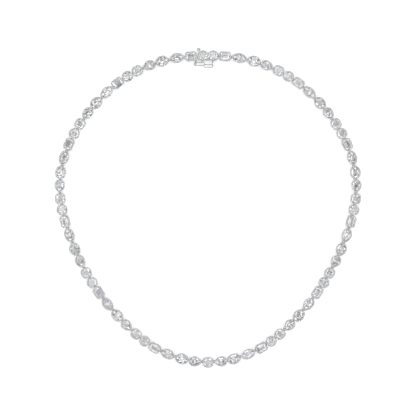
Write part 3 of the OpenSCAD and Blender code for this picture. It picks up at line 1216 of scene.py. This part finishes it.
@dataclass
class StoneRow:
    """The stones of one half of the necklace."""

    side: str
    first: int
    final: int
    loop: Loop

    def dress(self, material: bpy.types.Material) -> None:
        """Builds the row.

        Args:
            material: material of the stones.
        """
        row = Stock()
        shapes = {cut: FacetedStone(outline).stock() for cut, outline in OUTLINES.items()}
        for k in range(self.first, self.final + 1):
            at = self.loop.placement(k)
            row.place(shapes[self.loop.cut(k)], at, at.turned)
        piece = Piece(f"cut_stones_{self.side}", "necklace", "crystal", (f"stones_{self.side}",))
        piece.finish(row, material, None)


@dataclass
class ClaspBox:
    """The box that takes the tongue, with two round bezels on it, an eye and the catch's knuckle."""

    loop: Loop
    end: float = 4.25
    half_w: float = 1.95
    corner: float = 0.5
    floor_z: float = 0.25
    cavity_z: float = 1.25
    top: float = 1.65
    cavity_half_w: float = 1.5
    cavity_end: float = 3.2
    notch_end: float = 3.25
    lip_w: float = 0.3
    lip_bottom: float = 0.85
    lift: float = 0.35
    culet_hole_r: float = 0.75
    knuckle_r: float = 0.475
    bore_r: float = 0.25
    knuckle_half: float = 0.32
    knuckle_edge: float = 0.05
    bore_edge: float = 0.04
    lug_half_w: float = 0.3
    lug_low: float = 0.4
    lug_high: float = 0.9
    lug_edge: float = 0.08
    edge: float = 0.07
    edge_rows: int = 2
    sunk: float = 0.15
    collar_sunk: float = 0.02
    eye_leg: float = 0.55
    past: float = 1.0
    bite: float = 0.2
    door_bite: float = 0.5
    hole_past: float = 0.3
    crease: float = 35.0

    def _body(self) -> Stock:
        """The hollow box with its mouth, its notch and the holes for the culets."""
        c, y, inner = self.corner, self.half_w, self.cavity_half_w
        outline = [(-CLASP.mouth, -y), (self.end - c, -y), (self.end, c - y), (self.end, y - c),
                   (self.end - c, y), (-CLASP.mouth, y)]
        lip, outside = self.lip_w - CLASP.mouth, -CLASP.mouth - self.past
        hollow = block((lip, self.cavity_end), (-inner, inner), (self.floor_z, self.cavity_z))
        doorway = block((outside, lip + self.door_bite), (-inner, inner), (self.floor_z, self.lip_bottom))
        notch = block(
            (outside, -self.notch_end), (inner - self.bite, y + self.past), (self.floor_z, self.cavity_z)
        )
        hole_r = self.culet_hole_r
        hole = [(hole_r, self.cavity_z - self.bite), (hole_r, self.top + self.hole_past)]
        culets = [revolve(hole, side * CLASP.pitch / 2, 0.0, False) for side in (-1, 1)]
        shell = Bench.carve(prism(outline, 0.0, self.top), [hollow, doorway, notch, *culets])
        return Bench.soften(shell, self.edge, self.edge_rows)

    def _collars(self) -> Stock:
        """The two round bezels on the box."""
        cup = BezelCup(collar_z=self.top - self.lift)
        foot = cup.collar_z - self.collar_sunk
        flange = cup.height - cup.flange_depth
        section = [(cup.gallery_in, foot), (cup.gallery_out, foot)] + cup.collar()
        section += [(cup.seat_in, flange), (cup.gallery_in, flange)]
        shape = loft([raised(OUTLINES[Cut.ROUND].ring(g), z + self.lift) for g, z in section], wrap=True)
        both = Stock()
        for side in (-1, 1):
            both.place(shape, Placement(side * CLASP.pitch / 2, 0.0))
        return both

    def _knuckle(self) -> Stock:
        """The bored knuckle on its lug."""
        r, bore, half = self.knuckle_r, self.bore_r, self.knuckle_half
        out, inn = self.knuckle_edge, self.bore_edge
        section = [(bore, inn - half), (bore + inn, -half), (r - out, -half), (r, out - half),
                   (r, half - out), (r - out, half), (bore + inn, half), (bore, half - inn)]
        ring = revolve(section, 0.0, 0.0, True)
        p = ring.array()
        turned = np.column_stack([p[:, 0] + CLASP.hinge_x, CLASP.ring_y - p[:, 2], p[:, 1] + CLASP.catch_z])
        lug = block(
            (CLASP.hinge_x - self.lug_half_w, CLASP.hinge_x + self.lug_half_w),
            (CLASP.ring_y - half, self.sunk - self.half_w),
            (self.lug_low, self.lug_high),
        )
        return Stock().add(turned, ring.faces).place(Bench.soften(lug, self.lug_edge), Placement())

    def dress(self, material: bpy.types.Material) -> None:
        """Builds the box.

        Args:
            material: material of the metal.
        """
        whole = Stock()
        eye = WireEye().level(self.loop.first_joint + WireEye.past, self.eye_leg)
        for part in (self._body(), self._collars(), self._knuckle(), eye):
            whole.place(part, self.loop.clasp)
        piece = Piece("box_with_bezels", "necklace", "white_gold", ("clasp_box",))
        piece.finish(whole, material, self.crease)

    def dress_stones(self, material: bpy.types.Material) -> None:
        """Builds the two stones on the box.

        Args:
            material: material of the stones.
        """
        stone = FacetedStone(OUTLINES[Cut.ROUND]).stock()
        pair = Stock()
        for side in (-1, 1):
            lifted = Stock().add(stone.array() + (0.0, 0.0, self.lift), stone.faces)
            pair.place(lifted, Placement(side * CLASP.pitch / 2, self.loop.clasp.y))
        Piece("cut_stones_clasp", "necklace", "crystal", ("clasp_stones",)).finish(pair, material, None)


@dataclass
class TongueLink:
    """The last bezel link, with the tongue and the ball stud soldered to it."""

    loop: Loop
    leaf_z: float = 0.33
    leaf_h: float = 0.2
    leaf_half_w: float = 1.25
    leaf_end: float = 2.78
    root_x: float = 6.3
    root_half_w: float = 1.1
    root_h: float = 0.42
    root_gap: float = 0.1
    leaf_lap: float = 0.3
    nose_x: float = 2.95
    nose_w: float = 0.35
    nose_h: float = 0.5
    nose_edge: float = 0.14
    nose_rows: int = 4
    stud_x: float = -5.5
    ear_w: float = 0.95
    ear_reach: float = 3.9
    ear_steps: int = 12
    post_r: float = 0.25
    solder: tuple[tuple[float, float], ...] = ((0.1, -0.05), (0.08, 0.02), (0.0, 0.1))
    ball_z: float = 1.85
    ball_r: float = 0.4
    ball_steps: int = 14
    ball_end: float = 176.0
    ball_sides: int = 28
    plate_edge: float = 0.08
    leaf_edge: float = 0.05
    least_turn: float = 40.0
    crease: float = 40.0

    def _tongue(self) -> Stock:
        """Root plate, lower leaf and folded nose."""
        low = self.leaf_z
        wide, root_wide = (-self.leaf_half_w, self.leaf_half_w), (-self.root_half_w, self.root_half_w)
        root = block((-self.root_x, -CLASP.mouth - self.root_gap), root_wide, (low, low + self.root_h))
        leaf = block((-CLASP.mouth - self.leaf_lap, self.leaf_end), wide, (low, low + self.leaf_h))
        nose = block((self.nose_x - self.nose_w, self.nose_x), wide, (low, low + self.nose_h))
        whole = Stock()
        whole.place(Bench.soften(root, self.plate_edge), Placement())
        whole.place(Bench.soften(leaf, self.leaf_edge), Placement())
        return whole.place(Bench.soften(nose, self.nose_edge, self.nose_rows), Placement())

    def _stud(self) -> Stock:
        """The ear, and the ball on its post."""
        low, foot = self.leaf_z, self.leaf_z + self.root_h
        half, reach, post = self.ear_w / 2, self.ear_reach, self.post_r
        tip = arc_points(self.stud_x, half - reach, half, 180, 360, self.ear_steps)
        outline = [*map(tuple, tip), (self.stud_x + half, half - reach), (self.stud_x + half, 0.0),
                   (self.stud_x - half, 0.0)]
        ear = Bench.soften(prism(outline, low, foot), self.plate_edge, angle=self.least_turn)
        profile = [(post + spread, foot + rise) for spread, rise in self.solder]
        start = math.degrees(math.asin(post / self.ball_r))
        for a in np.linspace(start, self.ball_end, self.ball_steps):
            profile.append((self.ball_r * sind(a), self.ball_z - self.ball_r * cosd(a)))
        ball = revolve(profile, self.stud_x, CLASP.stud_y, False, self.ball_sides)
        return Stock().place(ear, Placement()).place(ball, Placement())

    def dress(self, material: bpy.types.Material) -> None:
        """Builds the link.

        Args:
            material: material of the metal.
        """
        k = self.loop.last
        at, outline = self.loop.placement(k), OUTLINES[self.loop.cut(k)]
        eye = WireEye()
        whole = Stock()
        whole.place(BezelCup().stock(outline), at, at.turned)
        whole.place(eye.upright(outline.length / 2 + self.loop.gap(k) / 2 + eye.past), at)
        for part in (self._tongue(), self._stud()):
            whole.place(part, self.loop.clasp)
        piece = Piece("tongue_link_dressed", "necklace", "white_gold", ("tongue_link",))
        piece.finish(whole, material, self.crease)


@dataclass
class ThumbLeaf:
    """The sprung upper leaf of the tongue, with its arm and its thumb tab of two round lobes."""

    loop: Loop
    rise: float = 2.6
    spring_x: float = 2.45
    spring_z: float = 0.63
    length: float = 6.35
    half_w: float = 1.25
    thick: float = 0.2
    arm_w: float = 0.5
    tab_w: float = 1.6
    tab_h: float = 0.6
    tab_inner: float = 2.5
    tab_trim: float = 0.002
    lobe_overlap: float = 0.01
    arm_lap: float = 0.2
    lobe_edge: float = 0.2
    lobe_rows: int = 5
    lobe_steps: int = 12
    least_turn: float = 40.0
    edge: float = 0.05
    crease: float = 40.0

    def _tab(self) -> Stock:
        """Two lobes side by side, each a bar with a round end."""
        low = (self.thick - self.tab_h) / 2
        r = self.tab_w / 4
        wide = r + self.lobe_overlap
        end_y = CLASP.tab_reach - self.tab_trim - wide
        tab = Stock()
        for side in (-1, 1):
            x = self.arm_w - self.length - self.tab_w / 2 + side * r
            end = arc_points(x, end_y, wide, 0, 180, self.lobe_steps)
            outline = [*map(tuple, end), (x - wide, end_y), (x - wide, self.tab_inner),
                       (x + wide, self.tab_inner)]
            lobe = prism(outline, low, low + self.tab_h)
            tab.place(Bench.soften(lobe, self.lobe_edge, self.lobe_rows, self.least_turn), Placement())
        return tab

    def dress(self, material: bpy.types.Material) -> None:
        """Builds the leaf.

        Args:
            material: material of the metal.
        """
        n, height = self.length, (0.0, self.thick)
        leaf = Bench.soften(block((-n, 0.0), (-self.half_w, self.half_w), height), self.edge)
        arm_y = (0.0, self.tab_inner + self.arm_lap)
        arm = Bench.soften(block((-n, self.arm_w - n), arm_y, height), self.edge)
        flat = Stock()
        for part in (leaf, arm, self._tab()):
            flat.place(part, Placement())
        p = flat.array()
        x = p[:, 0] * cosd(self.rise) + p[:, 2] * sind(self.rise) + self.spring_x
        z = p[:, 2] * cosd(self.rise) - p[:, 0] * sind(self.rise) + self.spring_z
        sprung = Stock().add(np.column_stack([x, p[:, 1] + self.loop.clasp.y, z]), flat.faces)
        piece = Piece("leaf_with_tab", "thumb_leaf", "white_gold", ("thumb_leaf",))
        piece.finish(sprung, material, self.crease)


@dataclass
class SafetyCatch:
    """Two soldered rings of wire: one round the ball stud, one whose bar turns in the knuckle."""

    loop: Loop
    wire_r: float = 0.2
    loop_r: float = 0.675
    loop_left: float = -5.6
    loop_right: float = -2.3
    ring_r: float = 0.62
    ring_left: float = -1.2
    bend_r: float = 0.26
    turn_steps: int = 16
    bend_steps: int = 6
    crease: float = 50.0

    def _long_loop(self) -> np.ndarray:
        """Middle line of the ring round the ball stud."""
        y, r, steps = CLASP.stud_y, self.loop_r, self.turn_steps
        right = arc_points(self.loop_right, y, r, -90, 90, steps)
        left = arc_points(self.loop_left, y, r, 90, 270, steps)
        return np.vstack([right, [self.loop_right, y + r], left, [self.loop_left, y - r]])

    def _hinge_ring(self) -> np.ndarray:
        """Middle line of the ring whose straight bar is the hinge."""
        x, y, r, b = CLASP.hinge_x, CLASP.ring_y, self.ring_r, self.bend_r
        low = arc_points(x - b, y - r + b, b, -90, 0, self.bend_steps)
        high = arc_points(x - b, y + r - b, b, 0, 90, self.bend_steps)
        left = arc_points(self.ring_left, y, r, 90, 270, self.turn_steps)
        return np.vstack([low, [x, y - r + b], high, [x - b, y + r], left, [self.ring_left, y - r]])

    def dress(self, material: bpy.types.Material) -> None:
        """Builds the catch.

        Args:
            material: material of the wire.
        """
        whole = Stock()
        for path in (self._long_loop(), self._hinge_ring()):
            wire = tube(raised(path, CLASP.catch_z), (0, 0, 1), self.wire_r, closed=True)
            whole.place(wire, self.loop.clasp)
        piece = Piece("catch_wire", "safety_catch", "white_gold", ("safety_catch",))
        piece.finish(whole, material, self.crease)


@dataclass
class Studio:
    """White paper, soft light from above and all round, and a camera that looks straight down."""

    half_floor: float = 4.0
    floor_z: float = -0.00001
    lens: float = 100.0
    sensor: float = 36.0
    view_width: float = 0.1864
    view_y: float = -0.0002
    subject_z: float = 0.0028
    sky: tuple[tuple[float, float], ...] = (
        (0.0, 0.4), (0.5, 0.52), (0.57, 0.44), (0.59, 0.36), (0.66, 0.36), (0.69, 1.15), (0.74, 1.9),
        (0.78, 2.1), (0.84, 1.37), (0.89, 0.84), (0.92, 0.37), (0.965, 0.39), (0.975, 0.55), (1.0, 0.67),
    )
    panels: tuple[tuple[float, float], ...] = (
        (0.42, 0.1), (0.46, 0.6), (0.5, 1.0), (0.55, 1.4), (0.6, 1.7),
    )
    panel_scale: float = 20.0
    bounces: int = 32
    bounces_in_stone: int = 24

    def lay_floor(self) -> None:
        """Lays the paper just under the settings."""
        h, z = self.half_floor, self.floor_z
        mesh = bpy.data.meshes.new("floor")
        mesh.from_pydata([(-h, -h, z), (h, -h, z), (h, h, z), (-h, h, z)], [], [(0, 1, 2, 3)])
        mesh.materials.append(StudioPaper().material("studio_paper"))
        floor = bpy.data.objects.new("floor", mesh)
        bpy.context.scene.collection.objects.link(floor)

    def light(self) -> None:
        """Lights the scene from a soft dome that is darker low down and straight above."""
        world = bpy.data.worlds.new("soft_dome")
        world.use_nodes = True
        bpy.context.scene.world = world
        graph = ShaderGraph(world.node_tree)
        toward = graph.add("ShaderNodeTexCoord", output="Generated")
        height = graph.add("ShaderNodeSeparateXYZ", None, {"Vector": toward}, output="Z")
        dome = graph.add(
            "ShaderNodeValToRGB",
            {"stops": [(place, grey(level)) for place, level in self.sky]},
            {"Fac": height * 0.5 + 0.5},
        )
        cloud = graph.add(
            "ShaderNodeTexNoise", None, {"Vector": toward, "Scale": self.panel_scale, "Detail": 1.0}
        )
        panels = graph.add(
            "ShaderNodeValToRGB",
            {"stops": [(place, grey(level)) for place, level in self.panels]},
            {"Fac": cloud},
        )
        glow = graph.add("ShaderNodeBackground", None, {"Color": dome, "Strength": panels})
        graph.add("ShaderNodeOutputWorld", None, {"Surface": glow})

    def set_camera(self) -> None:
        """Hangs the camera over the middle of the necklace."""
        data = bpy.data.cameras.new("camera")
        data.lens = self.lens
        data.sensor_width = self.sensor
        data.clip_start = 0.01
        camera = bpy.data.objects.new("camera", data)
        away = self.view_width * self.lens / self.sensor
        camera.location = (0.0, self.view_y, self.subject_z + away)
        bpy.context.scene.collection.objects.link(camera)
        bpy.context.scene.camera = camera

    def show_tones(self) -> None:
        """Keeps tones as they are, and lets light bounce until it leaves the stones again."""
        scene = bpy.context.scene
        scene.view_settings.view_transform = "Standard"
        scene.cycles.max_bounces = self.bounces
        scene.cycles.glossy_bounces = self.bounces_in_stone
        scene.cycles.transmission_bounces = self.bounces_in_stone


def write_sizes() -> None:
    """Brings the scene up to date."""
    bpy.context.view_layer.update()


def main() -> None:
    """Builds and dresses the necklace, then sets up the studio."""
    logging.basicConfig(level=logging.INFO, format="%(message)s")
    gold = PolishedGold().material("polished_white_gold")
    # The wire's crevice tint is darker than its open metal: painted shade in its hollows and gaps.
    drawn = PolishedGold(bright=grey(0.6), painted_occlusion_tint=grey(0.45), roughness=0.12, scratch=0.1)
    wire = drawn.material("drawn_white_gold_wire")
    crystal = CutCrystal().material("clear_crystal")
    loop = Loop()
    SettingChain("right", 0, loop.middle, loop).dress(gold, wire)
    SettingChain("left", loop.middle + 1, loop.last - 1, loop).dress(gold, wire)
    StoneRow("right", 0, loop.middle, loop).dress(crystal)
    StoneRow("left", loop.middle + 1, loop.last, loop).dress(crystal)
    TongueLink(loop).dress(gold)
    clasp = ClaspBox(loop)
    clasp.dress(gold)
    clasp.dress_stones(crystal)
    ThumbLeaf(loop).dress(gold)
    SafetyCatch(loop).dress(wire)
    studio = Studio()
    studio.lay_floor()
    studio.light()
    studio.set_camera()
    studio.show_tones()
    write_sizes()


if __name__ == "__main__":
    main()
